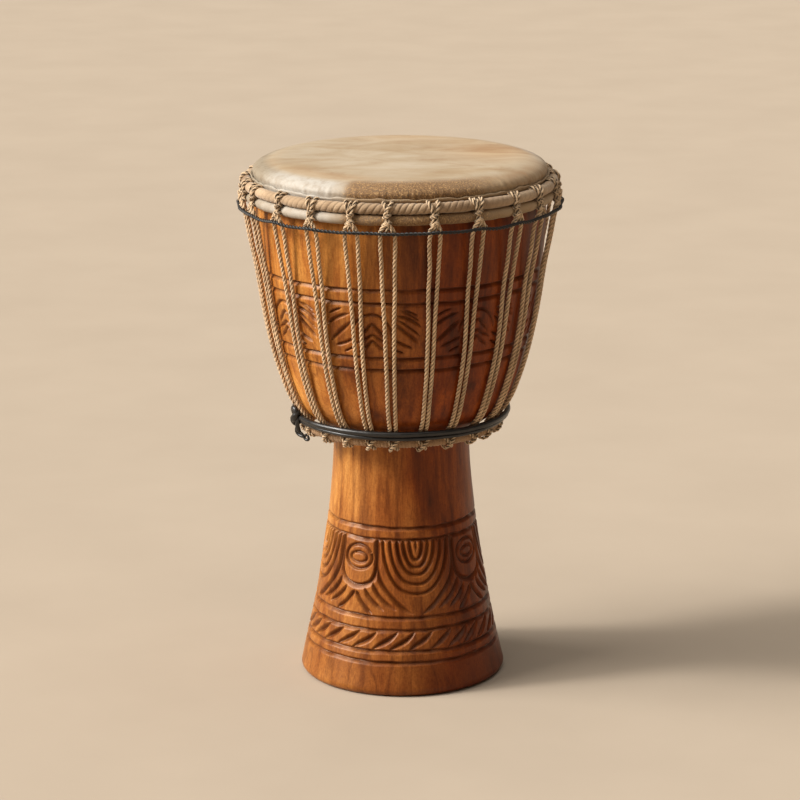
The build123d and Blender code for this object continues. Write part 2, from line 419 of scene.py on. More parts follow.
def hide_material():
    """Goat hide: streaked cream on top, chalky at the left, stubbly at the front."""
    n = Nodes("goat_hide")
    streak = n.noise(26, 6, 0.66, stretch=(0.55, 1.1, 1), distortion=0.9)
    cloud = n.noise(11, 3, 0.55)
    patch = n.noise(19, 3, 0.5, stretch=(0.6, 1.3, 1), distortion=0.6)
    fibre = n.noise(620, 3, 0.6)
    base = n.ramp(
        streak,
        [(0.30, (0.318, 0.220, 0.132)), (0.46, (0.378, 0.296, 0.200)),
         (0.60, (0.412, 0.336, 0.244)), (0.78, (0.448, 0.385, 0.300))],
    )
    tone = n.ramp(cloud, [(0.36, (0.90, 0.85, 0.78)), (0.62, (1.05, 1.04, 1.02))])
    base = n.mix(0.7, base, tone, "MULTIPLY")
    tan = n.ramp(patch, [(0.50, (1.0, 1.0, 1.0)), (0.68, (0.84, 0.74, 0.60))])
    base = n.mix(0.75, base, tan, "MULTIPLY")
    brown = n.ramp(streak, [(0.35, (0.315, 0.185, 0.090)), (0.62, (0.415, 0.285, 0.160))])
    browned = n.math("MULTIPLY", n.attribute("brown"), 0.75, clamp=True)
    base = n.mix(browned, base, brown)
    chalk = n.mix(n.attribute("chalk"), (0.262, 0.214, 0.152), (0.430, 0.394, 0.345))
    smear = n.ramp(n.noise(120, 5, 0.7), [(0.36, (0.66, 0.56, 0.46)), (0.56, (1.03, 1.03, 1.02))])
    chalk = n.mix(0.55, chalk, smear, "MULTIPLY")
    pale = n.math("MULTIPLY", n.attribute("pale"), 1.0, clamp=True)
    base = n.mix(pale, base, chalk)
    spots = n.noise(760, 4, 0.75, stretch=(1, 1, 0.7), distortion=0.5)
    stubble = n.ramp(
        spots,
        [(0.36, (0.060, 0.023, 0.007)), (0.50, (0.205, 0.103, 0.038)), (0.64, (0.50, 0.315, 0.140))],
    )
    hair = n.attribute("hair")
    edge = n.line(spots, 1.5, n.math("SUBTRACT", hair, 0.80), clamp=True)
    hairy = n.math("MULTIPLY", edge, n.math("MULTIPLY", hair, 1.5, clamp=True))
    base = n.mix(hairy, base, stubble)
    rough = n.line(streak, 0.2, 0.56)
    normal = n.bump(fibre, 0.25, 0.0004)
    normal = n.bump(n.math("MULTIPLY", spots, hair), 0.9, 0.0010, normal)
    normal = n.bump(streak, 0.25, 0.001, normal)
    return n.done(base, rough, normal, Sheen_Weight=0.06, Specular_IOR_Level=0.22)


def thread_material(name, dark, light, pitch):
    """Twisted yarn: fine diagonal fibres along the tube, with painted shade in the gaps between plies."""
    n = Nodes(name)
    coords = n.add("ShaderNodeTexCoord").outputs["UV"]
    split = n.add("ShaderNodeSeparateXYZ", {"Vector": coords})
    turn = n.math("MULTIPLY", split.outputs[0], TAU)
    slant = n.line(split.outputs[1], TAU / pitch, n.math("MULTIPLY", turn, 3.0))
    fibre = n.math("SINE", slant)
    speckle = n.noise(650, 3, 0.7)
    large = n.noise(45, 3, 0.6)
    mixed = n.line(fibre, 0.22, n.line(large, 0.6, 0.12))
    mixed = n.line(speckle, 0.45, n.math("SUBTRACT", mixed, 0.1))
    base = n.ramp(mixed, [(0.15, dark), (0.70, light)])
    # Painted shade in the gaps between plies, from the valley attribute.
    deep = n.math("MULTIPLY", n.attribute("valley"), 0.90, clamp=True)
    base = n.mix(deep, base, tuple(c * 0.22 for c in dark))
    normal = n.bump(n.line(speckle, 0.5, fibre), 0.5, 0.0003)
    return n.done(base, 0.85, normal, Sheen_Weight=0.15)


def cloth_material(name, dark, light):
    """Worn cotton strip, with painted shade darkening its folds."""
    n = Nodes(name)
    large = n.noise(35, 4, 0.6, distortion=0.5)
    thread = n.noise(900, 2, 0.6)
    folds = n.attribute("fold")
    base = n.ramp(large, [(0.3, dark), (0.7, light)])
    # Painted shade: the fold attribute darkens the cloth in its folds.
    base = n.mix(n.math("MULTIPLY", folds, 0.75, clamp=True), base, tuple(c * 0.35 for c in dark))
    grey = n.ramp(thread, [(0.3, (0.80, 0.78, 0.74)), (0.7, (1.06, 1.05, 1.03))])
    base = n.mix(0.6, base, grey, "MULTIPLY")
    normal = n.bump(thread, 0.5, 0.0004, n.bump(large, 0.3, 0.001))
    return n.done(base, 0.9, normal, Sheen_Weight=0.2)


def black_material(name, rough, bump):
    """Black cord, from dull to shiny by rough."""
    n = Nodes(name)
    marks = n.noise(160, 4, 0.6)
    base = n.ramp(marks, [(0.35, (0.007, 0.0065, 0.006)), (0.7, (0.020, 0.018, 0.017))])
    gloss = n.line(marks, 0.25, rough)
    return n.done(base, gloss, n.bump(marks, bump, 0.0005))


def steel_material():
    """Plain mild steel rod with some scale."""
    n = Nodes("ring_steel")
    scale = n.noise(240, 4, 0.6)
    base = n.ramp(scale, [(0.3, (0.30, 0.29, 0.28)), (0.7, (0.46, 0.45, 0.44))])
    rough = n.line(scale, 0.3, 0.3)
    return n.done(base, rough, n.bump(scale, 0.3, 0.0003), Metallic=1.0)


def floor_material():
    """Matt pale paper."""
    n = Nodes("floor")
    weave = n.noise(6, 3, 0.5)
    base = n.ramp(weave, [(0.3, (0.395, 0.325, 0.253)), (0.7, (0.415, 0.342, 0.267))])
    return n.done(base, 1.0, Specular_IOR_Level=0.0)


WOOD = wood_material()
INSIDE = inside_material()
HIDE = hide_material()
ROPE = thread_material("tension_rope", (0.215, 0.110, 0.044), (0.92, 0.640, 0.375), 1.1)
LOOP = thread_material("loop_cord", (0.225, 0.128, 0.060), (0.82, 0.600, 0.375), 1.0)
WRAP = thread_material("ring_rope_wrap", (0.085, 0.042, 0.018), (0.40, 0.240, 0.125), 1.0)
CLOTH = cloth_material("ring_cloth", (0.215, 0.125, 0.062), (0.48, 0.340, 0.210))
TOP_BLACK = black_material("black_twine", 0.42, 0.6)
LOW_BLACK = black_material("black_cord", 0.22, 0.10)
STEEL = steel_material()

# ---- shell ------------------------------------------------------------------
# Outlines as (radius, height) from the foot up, over the rim and down the bore.
STEM_CURVE = [
    (97.9, 6.0), (92.9, 28.7), (88.7, 47.8), (83.7, 71.7), (79.6, 95.6),
    (75.0, 124.3), (70.8, 153.0), (67.6, 181.6), (65.3, 210.0), (64.4, 240.0),
]
BOWL_CURVE = [
    (64.4, 240.0), (80.0, 250.7), (90.0, 258.2), (95.7, 263.4), (100.2, 269.5),
    (108.5, 287.0), (117.5, 315.5), (124.3, 344.0), (129.3, 373.0), (133.3, 402.0),
    (136.0, 430.0), (136.9, 446.0), (136.3, 458.0), (135.4, 466.0),
]
RIM = [(135.4, 466.0), (135.4, 482.0), (136.2, 486.5), (133.8, 492.5), (126.5, 496.0)]
BORE_CURVE = [
    (122.5, 488.0), (122.0, 460.0), (119.3, 420.0), (114.0, 380.0), (107.0, 345.0),
    (97.5, 315.0), (84.0, 288.0), (68.0, 266.0), (54.5, 250.0), (48.5, 230.0),
    (50.0, 200.0), (54.0, 160.0), (61.0, 110.0), (70.0, 60.0), (82.0, 0.0),
]
CREST = [(125.2, 496.0), (123.9, 494.8), (122.9, 491.0)]
FOOT_EDGE = [(84.0, 0.0), (89.0, 0.0), (91.5, 0.1), (94.0, 0.7), (96.0, 1.9), (97.3, 3.7)]
# Turned grooves: their heights, and one section for all.
GROOVES = [401.3, 388.9, 336.1, 324.0, 158.7, 147.7, 74.6, 62.7, 43.0, 32.9]
GROOVE_DEPTH, GROOVE_ABOVE, GROOVE_BELOW = 2.7, 1.5, 3.7
# Mesh columns all round, and row spacing where the wood is carved and where it is plain.
COLUMNS = 1024
CARVED_STEP, PLAIN_STEP = 0.62, 2.6
CARVED_BANDS = ((28, 163), (319, 406))


class Relief:
    """Depth of cut in mm over the shell's outside, by height row and azimuth."""

    def __init__(self, heights, radii, azimuths):
        self.z, self.r, self.a = heights, radii, azimuths
        self.depth = np.zeros((len(heights), len(azimuths)))

    def groove(self, height, depth, above, below, seed):
        wave = wobble(np.radians(self.a), (2, 3, 5, 8, 13, 21), 0.45, seed)
        deep = depth * (1 + 0.25 * wobble(np.radians(self.a), (4, 9, 17, 31), 1.0, seed + 1))
        off = self.z[:, None] - height - wave[None, :]
        cut = np.where(off > 0, 1 - off / above, 1 + off / below)
        self.depth = np.maximum(self.depth, deep[None, :] * np.clip(cut, 0, 1) ** 1.1)

    def stroke(self, points, width, depth, taper=(0.2, 0.2), other=None, power=1.35):
        """A gouged line through (azimuth, height) points. width is the half width
        to its left, other to its right, both narrowing at the ends."""
        points = np.asarray(points, float)
        middle = points[:, 0].mean()
        other = width if other is None else other
        reach = max(width, other)
        low, high = points[:, 1].min() - reach, points[:, 1].max() + reach
        rows = np.where((self.z > low) & (self.z < high))[0]
        if not len(rows):
            return
        radius = np.interp(points[:, 1], self.z, self.r)
        flat = np.stack([np.radians(points[:, 0] - middle) * radius, points[:, 1]], -1)
        line = smooth_path(flat, 0.6)
        turn = (self.a - middle + 180) % 360 - 180
        spread = np.degrees((np.abs(line[:, 0]).max() + reach) / radius.min())
        cols = np.where(np.abs(turn) < spread)[0]
        x = np.radians(turn[cols])[None, :] * self.r[rows][:, None]
        y = np.broadcast_to(self.z[rows][:, None], x.shape)
        p = np.stack([x.ravel(), y.ravel()], -1)
        gap = p[:, None] - line[None]
        square = (gap**2).sum(-1)
        near = square.argmin(1)
        tangent = np.gradient(line, axis=0)[near]
        off = gap[np.arange(len(p)), near]
        side = tangent[:, 0] * off[:, 1] - tangent[:, 1] * off[:, 0]
        t = near / (len(line) - 1)
        ends = np.minimum(t / max(taper[0], 1e-3), (1 - t) / max(taper[1], 1e-3))
        thin = np.sqrt(np.minimum(1, ends + 0.12))
        half = np.where(side > 0, width, other) * thin
        u = np.sqrt(square[np.arange(len(p)), near]) / half
        cut = depth * thin * np.clip(1 - u, 0, 1) ** power
        block = np.ix_(rows, cols)
        self.depth[block] = np.maximum(self.depth[block], cut.reshape(x.shape))


# Bowl band: nested arches as (half width in degrees, foot, top, shoulder's share of the rise), and
# leaf strokes as (half width in mm, (azimuth, height) points).
ARCH_COUNT, ARCH_START = 8, -11.3
ARCHES = (
    (8.4, 359, 378.3, 0.84), (5.4, 354, 368.6, 0.62), (6.6, 349.5, 358.4, 0.5), (5.6, 341.0, 352.6, 0.5)
)
LEAVES = (
    (1.9, [(3.8, 376.4), (6.8, 379.8), (9.8, 382.8)]),
    (2.9, [(2.6, 366.0), (6.6, 372.4), (12.9, 377.8)]),
    (3.3, [(3.6, 350.8), (8.4, 359.8), (13.8, 370.4)]),
    (2.6, [(6.0, 345.9), (10.2, 349.4), (14.6, 354.6)]),
    (1.9, [(9.8, 341.0), (12.2, 343.2), (14.8, 346.4)]),
)
THIN_LEAVES = (
    (1.6, [(3.0, 371.6), (7.0, 377.4), (11.2, 383.4)]),
    (1.7, [(3.2, 358.4), (7.8, 366.4), (12.8, 373.8)]),
)


def carve_bowl_band(relief):
    """Eight pointed arches alternating with fans of leaf strokes."""
    rng = np.random.default_rng(3)
    apart = 360 / ARCH_COUNT
    for k in range(ARCH_COUNT):
        centre = ARCH_START + k * apart + rng.uniform(-0.7, 0.7)
        shift = rng.uniform(-0.6, 0.6)
        for half, foot, top, shoulder in ARCHES:
            bend = foot + (top - foot) * shoulder
            flank = foot + (top - foot) * 0.5 * shoulder
            arch = [
                (-half, foot), (-half * 0.86, flank), (-half * 0.5, bend), (0, top),
                (half * 0.5, bend), (half * 0.86, flank), (half, foot),
            ]
            arch = [(centre + a, z + shift) for a, z in arch]
            relief.stroke(arch, 2.9, 2.7, (0.2, 0.2), 2.0)
        middle = centre - apart / 2 + rng.uniform(-0.4, 0.4)
        for side in (-1, 1):
            for width, line in LEAVES + (THIN_LEAVES if side < 0 else ()):
                path = [(middle + side * a, z + rng.uniform(-0.4, 0.4)) for a, z in line]
                left, right = (width, width * 0.7) if side > 0 else (width * 0.7, width)
                relief.stroke(path, left, 3.0, (0.22, 0.28), right, 1.15)


# Stem band: the bosses' azimuths, the hanging lines as (half width in degrees, lowest height), the
# sweeping lines as (half width in mm, points, tapers), and a boss's outline.
BOSSES = (-33.2, 55.6, 146.0, 236.5)
BOSS_GAP = 88.0
BAND_TOP = 147.5
HANGING_LINES = ((4.5, 128.4), (9.4, 121.6), (14.4, 114.4), (19.5, 105.8), (25.2, 95.8))
SWEEPS = (
    (3.7, [(29.0, 147), (28.8, 131), (27.6, 117), (23.4, 104.5), (16.8, 93.5), (10.5, 84.8), (3.5, 77.8)],
     (0.02, 0.12)),
    (3.5, [(31.6, 107), (27.6, 97), (21.8, 88.6), (14.8, 81.6)], (0.25, 0.3)),
    (3.5, [(36.6, 99.6), (33.0, 92.4), (28.0, 86), (23.0, 80.8)], (0.25, 0.3)),
    (3.5, [(43.4, 96.4), (39.2, 88), (34.8, 81.4), (30.4, 76.4)], (0.12, 0.2)),
)
BOSS_OUTLINE = [
    (-14.0, 146), (-14.2, 132), (-13.4, 117), (-9.8, 107.3), (-4.2, 103.4), (0, 102.6),
    (4.2, 103.4), (9.8, 107.3), (13.4, 117), (14.2, 132), (14.0, 146),
]


def oval(centre, middle, wide, high, start, points):
    """A closed oval of (azimuth, height) points, from an angle round to itself."""
    turns = np.linspace(start, TAU + start, points)
    return [(centre + wide * math.cos(t), middle + high * math.sin(t)) for t in turns]


def carve_stem_band(relief):
    """Four nests of hanging U lines between four oval bosses."""
    rng = np.random.default_rng(5)
    for k, left in enumerate(BOSSES):
        right = BOSSES[k + 1] if k + 1 < len(BOSSES) else BOSSES[0] + 360
        centre = (left + right) / 2 - 0.8
        scale = (right - left) / BOSS_GAP

        def at(a, z, side=1):
            return centre + side * a * scale, z

        drop = [at(0, BAND_TOP), at(0, 142), at(0, 136.0)]
        relief.stroke(drop, 1.7, 2.4, (0.02, 0.4), None, 1.1)
        for half, low in HANGING_LINES:
            half += rng.uniform(-0.4, 0.4)
            low += rng.uniform(-0.5, 0.5)
            line = []
            for s in np.linspace(-1, 1, 15):
                a = math.sin(s * math.pi / 2)
                hang = (1 - abs(a) ** 2.3) ** (1 / 1.75)
                line.append(at(half * a, BAND_TOP - (BAND_TOP - low) * hang))
            relief.stroke(line, 2.7, 3.0, (0.02, 0.02), 2.4, 1.15)
        for side in (-1, 1):
            for width, path, taper in SWEEPS:
                line = [at(a, z, side) for a, z in path]
                wide, thin = (width, width * 0.75) if side > 0 else (width * 0.75, width)
                relief.stroke(line, wide, 3.2, taper, thin, 1.15)
        boss = [(left + a * scale, z) for a, z in BOSS_OUTLINE]
        relief.stroke(boss, 2.0, 3.4, (0.05, 0.05), 5.0, 1.2)
        ring = oval(left, 129.0, 11.2, 11.6, 0.4, 15)
        relief.stroke(ring, 2.6, 2.6, (0.001, 0.001), 2.0, 1.2)
        eye = oval(left, 128.4, 6.8, 5.0, 2.2, 13)
        relief.stroke(eye, 2.3, 2.3, (0.001, 0.001), 1.9, 1.2)


FOOT_GOUGES = 30
FOOT_GOUGE = [(-9.0, 43.2), (-4.8, 47.6), (1.2, 53.2), (7.4, 61.4)]


def carve_foot_band(relief):
    """A ring of slanting leaf-shaped gouges."""
    rng = np.random.default_rng(11)
    for k in range(FOOT_GOUGES):
        start = 1.4 + k * 360 / FOOT_GOUGES + rng.uniform(-1.0, 1.0)
        path = [(start + a, z + rng.uniform(-0.5, 0.5)) for a, z in FOOT_GOUGE]
        relief.stroke(path, 3.2, 3.5 * rng.uniform(0.85, 1.1), (0.5, 0.42), 3.6, 1.1)


def shell_stations():
    """Outline points and outward normals from the foot up, dense where it is carved."""
    stem = smooth_path(STEM_CURVE, 0.1)
    bowl = smooth_path(BOWL_CURVE, 0.1)
    outline = np.vstack([stem, bowl[1:]])
    length = length_so_far(outline)
    z = outline[:, 1]
    carved = np.any([(z > low) & (z < high) for low, high in CARVED_BANDS], axis=0)
    rate = np.where(carved, 1 / CARVED_STEP, 1 / PLAIN_STEP)
    cost = np.concatenate([[0], np.cumsum(rate[1:] * np.diff(length))])
    picks = np.interp(np.linspace(0, cost[-1], round(cost[-1])), cost, length)
    points = np.stack([np.interp(picks, length, outline[:, 0]), np.interp(picks, length, z)], -1)
    tangent = np.gradient(points, axis=0)
    tangent /= np.linalg.norm(tangent, axis=1)[:, None]
    return points, np.stack([tangent[:, 1], -tangent[:, 0]], -1)


def make_shell():
    points, normals = shell_stations()
    azimuths = np.arange(COLUMNS) * 360 / COLUMNS
    relief = Relief(points[:, 1], points[:, 0], azimuths)
    for k, height in enumerate(GROOVES):
        relief.groove(height, GROOVE_DEPTH, GROOVE_ABOVE, GROOVE_BELOW, 20 + 3 * k)
    carve_bowl_band(relief)
    carve_stem_band(relief)
    carve_foot_band(relief)
    a = np.radians(azimuths)[None, :]
    z = points[:, 1][:, None]
    uneven = 0.22 * np.sin(3 * a + z / 31) * np.sin(2 * a - z / 47) + 0.15 * np.sin(9 * a + z / 13)
    shift = uneven - relief.depth
    radius = points[:, 0][:, None] + normals[:, 0][:, None] * shift
    height = points[:, 1][:, None] + normals[:, 1][:, None] * shift
    rim = smooth_path(RIM, 1.0)[1:]
    bore = smooth_path(BORE_CURVE, 6.0)
    tail = np.vstack([rim, CREST, bore, FOOT_EDGE])
    radius = np.vstack([radius, np.repeat(tail[:, :1], COLUMNS, 1)])
    height = np.vstack([height, np.repeat(tail[:, 1:], COLUMNS, 1)])
    # The cut depth also darkens the wood's colour, as stain and painted shade.
    carve = np.zeros(radius.shape)
    carve[: len(points)] = np.clip(relief.depth / 2.2, 0, 1.2)
    layers = {"carve": carve}
    names = ("carved_shell", WOOD, "shell", "carved_wood")
    shell = round_piece(radius, height, azimuths, *names, layers=layers)
    shell.data.materials.append(INSIDE)
    bore_start = len(points) + len(rim) + 1
    which = np.zeros(len(shell.data.polygons), np.int32)
    which[bore_start * COLUMNS : (bore_start + len(bore) + 2) * COLUMNS] = 1
    shell.data.polygons.foreach_set("material_index", which)


# ---- head -------------------------------------------------------------------
# The three wrapped rings, each as (radius, height, radius of its section).
CROWN = (142.9, 478.45, 5.1)
FLESH = (142.3, 468.1, 4.8)
LOWER = (90.0, 247.5, 4.9)
# The hide is flat out to HEAD_FLAT, then bends down to HEAD_SIDE at the height HEAD_SHOULDER.
HEAD_TOP = 499.75
HEAD_FLAT = 108.0
HEAD_SIDE = 137.7
HEAD_SHOULDER = 489.0
# The turned-up lip: radius, share of crease, height, share of the ragged edge, share of hair.
LIP_ROWS = (
    (137.3, 0.2, 484.2, 0.0, 0.8), (138.0, 0.3, 484.9, 0.4, 0.7), (138.7, 0.4, 486.15, 1.0, 0.5),
    (139.2, 0.4, 486.3, 1.0, 0.45), (139.7, 0.3, 485.95, 1.0, 0.5), (139.5, 0.0, 484.4, 0.5, 0.6),
    (138.4, 0.0, 482.6, 0.0, 0.6),
)
# The hide's underside over the rim and the bearing edge, as (radius, height).
HEAD_INSIDE = (
    (135.9, 470.0), (135.9, 482.2), (136.6, 486.7), (134.2, 492.9), (126.6, 496.6), (108.0, 499.0),
    (60.0, 499.0), (0.5, 499.0), (0.01, 499.0),
)
# Smallest section radii that still cover the steel rods inside the rings.
FLESH_LEAST, CROWN_LEAST = 4.3, 4.45


def pinch(azimuth, width=2.1):
    """0 midway between two hitches, 1 under one. width in degrees."""
    off = (azimuth[:, None] - HITCHES[None, :] + 180) % 360 - 180
    return np.exp(-((np.abs(off).min(1) / width) ** 2))


def make_drumhead():
    """Hide from the middle of the top over the rim, into the lip, round the flesh ring and back
    inside. Each row also says how hairy, pale and brown the hide is there."""
    cols = 1100
    azimuth = np.arange(cols) * 360 / cols
    a = np.radians(azimuth)
    cinch = pinch(azimuth)
    rows = []

    def row(radius, height, hair=0.0, pale=0.0, brown=0.0):
        rows.append([value + 0 * a for value in (radius, height, hair, pale, brown)])

    turn = (azimuth + 180) % 360 - 180
    edge_a = turn + wobble(a, (9, 17, 31, 47), 1.2, 55)

    def ramp_up(start, width):
        return 1 / (1 + np.exp(-np.clip((edge_a - start) / width, -30, 30)))

    front_hair = ramp_up(-21.5, 1.6) * (1 - 0.75 * ramp_up(34, 5)) * (1 - ramp_up(62, 8))
    back_hair = 0.8 * (ramp_up(150, 8) + 1 - ramp_up(-150, 8))
    hair_zone = np.clip(front_hair + back_hair, 0, 1)
    white_zone = ramp_up(-128, 6) * (1 - ramp_up(-22.5, 1.8))
    white_zone = white_zone + 0.5 * ramp_up(96, 8) * (1 - ramp_up(146, 8))
    chalk = ramp_up(-60, 4)
    brown_edge = 0.85 * np.exp(-(((turn + 38) / 26.0) ** 4))
    brown_edge = brown_edge + 0.35 * np.exp(-(((turn - 150) / 40.0) ** 4))
    tanned = 0.85 * ramp_up(26, 8) * (1 - ramp_up(122, 9))
    crease = wobble(a, (37, 53, 71, 97, 131, 163), 0.28, 51) + wobble(a, (5, 8, 13), 0.2, 52)
    crease = crease + 0.35 * wobble(a, (61, 83, 109), 1.0, 53) * np.exp(-(((turn - 62) / 22.0) ** 4))
    dip = 0.25 * np.sin(2 * a + 1.0)

    def stain(r):
        """Two tan marks on the top, at the right and at the back."""
        x, y = r * np.sin(a), -r * np.cos(a)
        right = 1.35 * np.exp(-(((x - 88) / 44) ** 2) - ((y - 30) / 50) ** 2)
        return right + np.exp(-(((x - 10) / 60) ** 2) - ((y - 112) / 32) ** 2)

    for r in np.concatenate([[0.01, 0.06, 0.5], np.linspace(3, HEAD_FLAT, 36)]):
        worn = brown_edge * np.clip((r - 94) / 14, 0, 1)
        row(r, HEAD_TOP + dip * (r / HEAD_FLAT) ** 2, 0, 0, np.maximum(worn, stain(r)))
    rim_stain = stain(HEAD_FLAT)
    for t in np.linspace(0, 1, 24)[1:]:
        bend = t * math.pi / 2
        r = HEAD_FLAT + (HEAD_SIDE - HEAD_FLAT) * math.sin(bend)
        z = HEAD_SHOULDER + (HEAD_TOP - HEAD_SHOULDER) * math.cos(bend) ** 0.96
        over = np.clip((t - 0.05) * 2.7, 0, 1)
        below = np.clip((t - 0.26) * 4.5, 0, 1)
        brown = np.maximum(brown_edge * (1 - over), tanned * below + rim_stain * (1 - below))
        row(r + crease * t, z + dip * (1 - t), hair_zone * over, white_zone * below, brown)
    for z in np.linspace(488.2, 484.6, 6):
        t = (489.2 - z) / 4.6
        row(HEAD_SIDE - 0.75 * t + crease * (1 - 0.5 * t), z, hair_zone, white_zone, tanned)
    ragged = wobble(a, (7, 11, 19, 29, 43, 67), 0.75, 61)
    for r, crinkle, z, rise, furry in LIP_ROWS:
        row(r + crinkle * crease, z + rise * ragged, hair_zone * furry, white_zone, tanned)
    for z in (480.0, 474.6):
        row(137.5, z, 0.4 * hair_zone, white_zone)
    lumps = wobble(a, (31, 47, 61, 89, 113), 0.22, 71)
    for t in np.linspace(150, -215, 34):
        full = np.maximum(FLESH[2] + 0.1 * (1 - cinch) - 0.6 * cinch + lumps, FLESH_LEAST)
        if t < -150 or t > 120:
            full = full * 0 + FLESH[2]
        angle = math.radians(t)
        low = np.clip((-t - 20) / 80, 0, 1)
        row(
            FLESH[0] + full * math.cos(angle), FLESH[1] + full * math.sin(angle) * 1.02,
            hair_zone * 0.88, white_zone * (0.78 - 0.5 * low), tanned,
        )
    for r, z in HEAD_INSIDE:
        row(r, z)
    radius, height, hair, pale, brown = np.moveaxis(np.array(rows), 1, 0)
    layers = {"hair": hair, "pale": pale, "brown": brown, "chalk": np.tile(chalk, (len(rows), 1))}
    names = ("goat_skin_head", HIDE, "drumhead", "goat_hide")
    head = round_piece(radius, height, azimuth, *names, layers=layers)


FRONT_FOLDS = 2  # azimuth where the cloth's folds are deepest
CLOTH_TURNS = 150


def make_crown_wrap():
    """A cloth strip twisted round the top ring, pinched under each hitch."""
    cols, sides = 2200, 40
    azimuth = np.arange(cols) * 360 / cols
    a = np.radians(azimuth)[None, :]
    t = (np.arange(sides) * TAU / sides)[:, None]
    cinch = pinch(azimuth, 2.6)[None, :]
    twist = CLOTH_TURNS * a - 3 * t + 0.9 * np.sin(7 * a + 1) + 0.7 * np.sin(17 * a)
    ridge = np.abs(np.sin(twist / 2 + 0.35 * np.sin(11 * a)))
    amount = 0.22 + 0.22 * np.sin(2 * a + 0.9) * np.sin(5 * a + 2.0)
    off = (azimuth - FRONT_FOLDS + 180) % 360 - 180
    amount = np.clip(amount + 0.60 * np.exp(-((off / 32.0) ** 4)), 0.06, 1.0)
    fold = amount * (1 - ridge) ** 2.6
    full = CROWN[2] - 1.0 * fold - 0.6 * cinch + wobble(a, (29, 41, 59, 83), 0.22, 81)
    full = np.maximum(full, CROWN_LEAST)
    radius = CROWN[0] + full * np.cos(t)
    height = CROWN[1] + full * np.sin(t)
    names = ("crown_ring_cloth", CLOTH, "crown_ring_wrap", "ring_cloth")
    # The fold depth also darkens the cloth's colour, as painted shade.
    round_piece(radius, height, azimuth, *names, layers={"fold": fold})


# ---- rope work --------------------------------------------------------------
# One leg of a rope pair going up, as (radius, offset from the pair's middle, height), and the bend.
ROPE_ROUTE = [
    (93.2, 2.5, 256.8), (98.2, 2.6, 262.2), (103.2, 2.7, 268.9), (111.7, 2.9, 287.5),
    (120.7, 3.1, 315.5), (127.3, 3.4, 344.0), (132.2, 3.9, 373.0), (136.6, 4.9, 402.0),
    (142.3, 5.3, 430.0), (147.0, 5.8, 454.5), (148.6, 5.0, 459.4), (149.9, 2.6, 463.6),
]
PEAK = (150.2, 0.0, 466.0)
ROPE_RADIUS = 2.0
ROPE_PITCH = 13.5


def make_tension_ropes():
    """One laid rope for each pair of legs, each leaning a little differently."""
    for k, azimuth in enumerate(HITCHES):
        rng = np.random.default_rng(100 + k)
        lean = rng.uniform(-0.9, 0.9)
        gap = rng.uniform(0.78, 1.14)
        legs = []
        for side in (-1, 1):
            leg = []
            for r, t, z in ROPE_ROUTE:
                sway = (z - 256) / 200
                free = min(1.0, max(0.0, (z - 258) / 20))
                offset = side * t * (1 + (gap - 1) * free) + lean * sway
                leg.append((r, offset + rng.uniform(-0.2, 0.2) * free, z))
            legs.append(leg)
        peak = (PEAK[0], PEAK[1] + lean, PEAK[2] + rng.uniform(-0.4, 0.4))
        route = legs[0] + [peak] + legs[1][::-1]
        build = Builder()
        lay(build, route, 1.2, azimuth, rng, ROPE_RADIUS, ROPE_PITCH, 3, 8)
        build.piece(f"laid_rope_{k + 1:02d}", ROPE, f"tension_rope_{k + 1:02d}", "tension_rope")


# Three ways a hitch is tied. A strand: offsets at the top ring, waist and lower knot, and its radius.
HITCH_STRANDS = (
    ((-4.4, -1.5, -1.6, 1.85), (4.3, 1.5, 1.6, 1.85)),
    ((-5.6, -1.4, 1.5, 1.75), (4.4, 1.5, -1.4, 1.75), (-0.6, 0.2, 0.2, 1.45)),
    ((-3.6, 1.4, -1.5, 1.85), (3.9, -1.5, 1.5, 1.85)),
)
# Where a strand goes round the top ring: angle over it, and how far it is drawn to the waist.
OVER_RING = ((125, 0.0), (98, 0.0), (70, 0.04), (40, 0.22), (12, 0.60))
# Turns round the waist and below: place, depth, height, half width, cord radius, slope.
HITCH_TURNS = ((147.4, 3.1, 473.4, 3.1, 1.25, 0.8), (148.4, 2.6, 466.6, 3.4, 1.55, 0.7))


def make_crown_loops():
    """Strands over the top ring, tied at the waist and below, and spread over the rope's bend."""
    for k, azimuth in enumerate(HITCHES):
        rng = np.random.default_rng(300 + k)
        build = Builder()
        tilt = rng.uniform(-0.7, 0.7)
        for top, waist, low, thick in HITCH_STRANDS[k % len(HITCH_STRANDS)]:
            top += rng.uniform(-0.5, 0.5)
            over = 4.2 + thick * 0.86
            line = []
            for angle, pull in OVER_RING:
                c, s = math.cos(math.radians(angle)), math.sin(math.radians(angle))
                across = top * (1 - pull) + waist * pull + tilt * angle / 120
                line.append((CROWN[0] + over * c, across, CROWN[1] + over * s))
            line += [(147.9, waist, 473.6), (148.6, 0.5 * (waist + low), 470.2), (149.2, low, 467.0),
                     (149.2, low * 0.9, 464.4), (148.6, low * 0.7, 462.6)]
            lay(build, line, 0.7, azimuth, rng, thick, 10.5, 2, 9)
        for radius, middle, height, spread, thick, slope in HITCH_TURNS:
            turns = []
            spread += rng.uniform(-0.3, 0.4)
            for t in np.linspace(-0.5, TAU * 1.05, 20):
                turns.append((
                    radius + middle * math.cos(t), spread * math.sin(t),
                    height - 0.25 * t + slope * math.sin(t + tilt),
                ))
            lay(build, turns, 0.7, azimuth, rng, thick, 7.5, 2, 7)
        for side in (-1, 0, 1):
            spread = rng.uniform(0.9, 1.1)
            skirt = [(148.9, side * 0.5, 467.2), (150.0, side * 1.8 * spread, 464.2),
                     (150.6, side * 3.9 * spread, 461.2), (150.2, side * 6.0 * spread, 459.0)]
            lay(build, skirt, 0.7, azimuth, rng, 1.5, 8.5, 2, 7)
        build.piece(f"crown_hitch_{k + 1:02d}", LOOP, f"crown_loop_{k + 1:02d}", "loop_cord")


WINDING_TURNS = 178
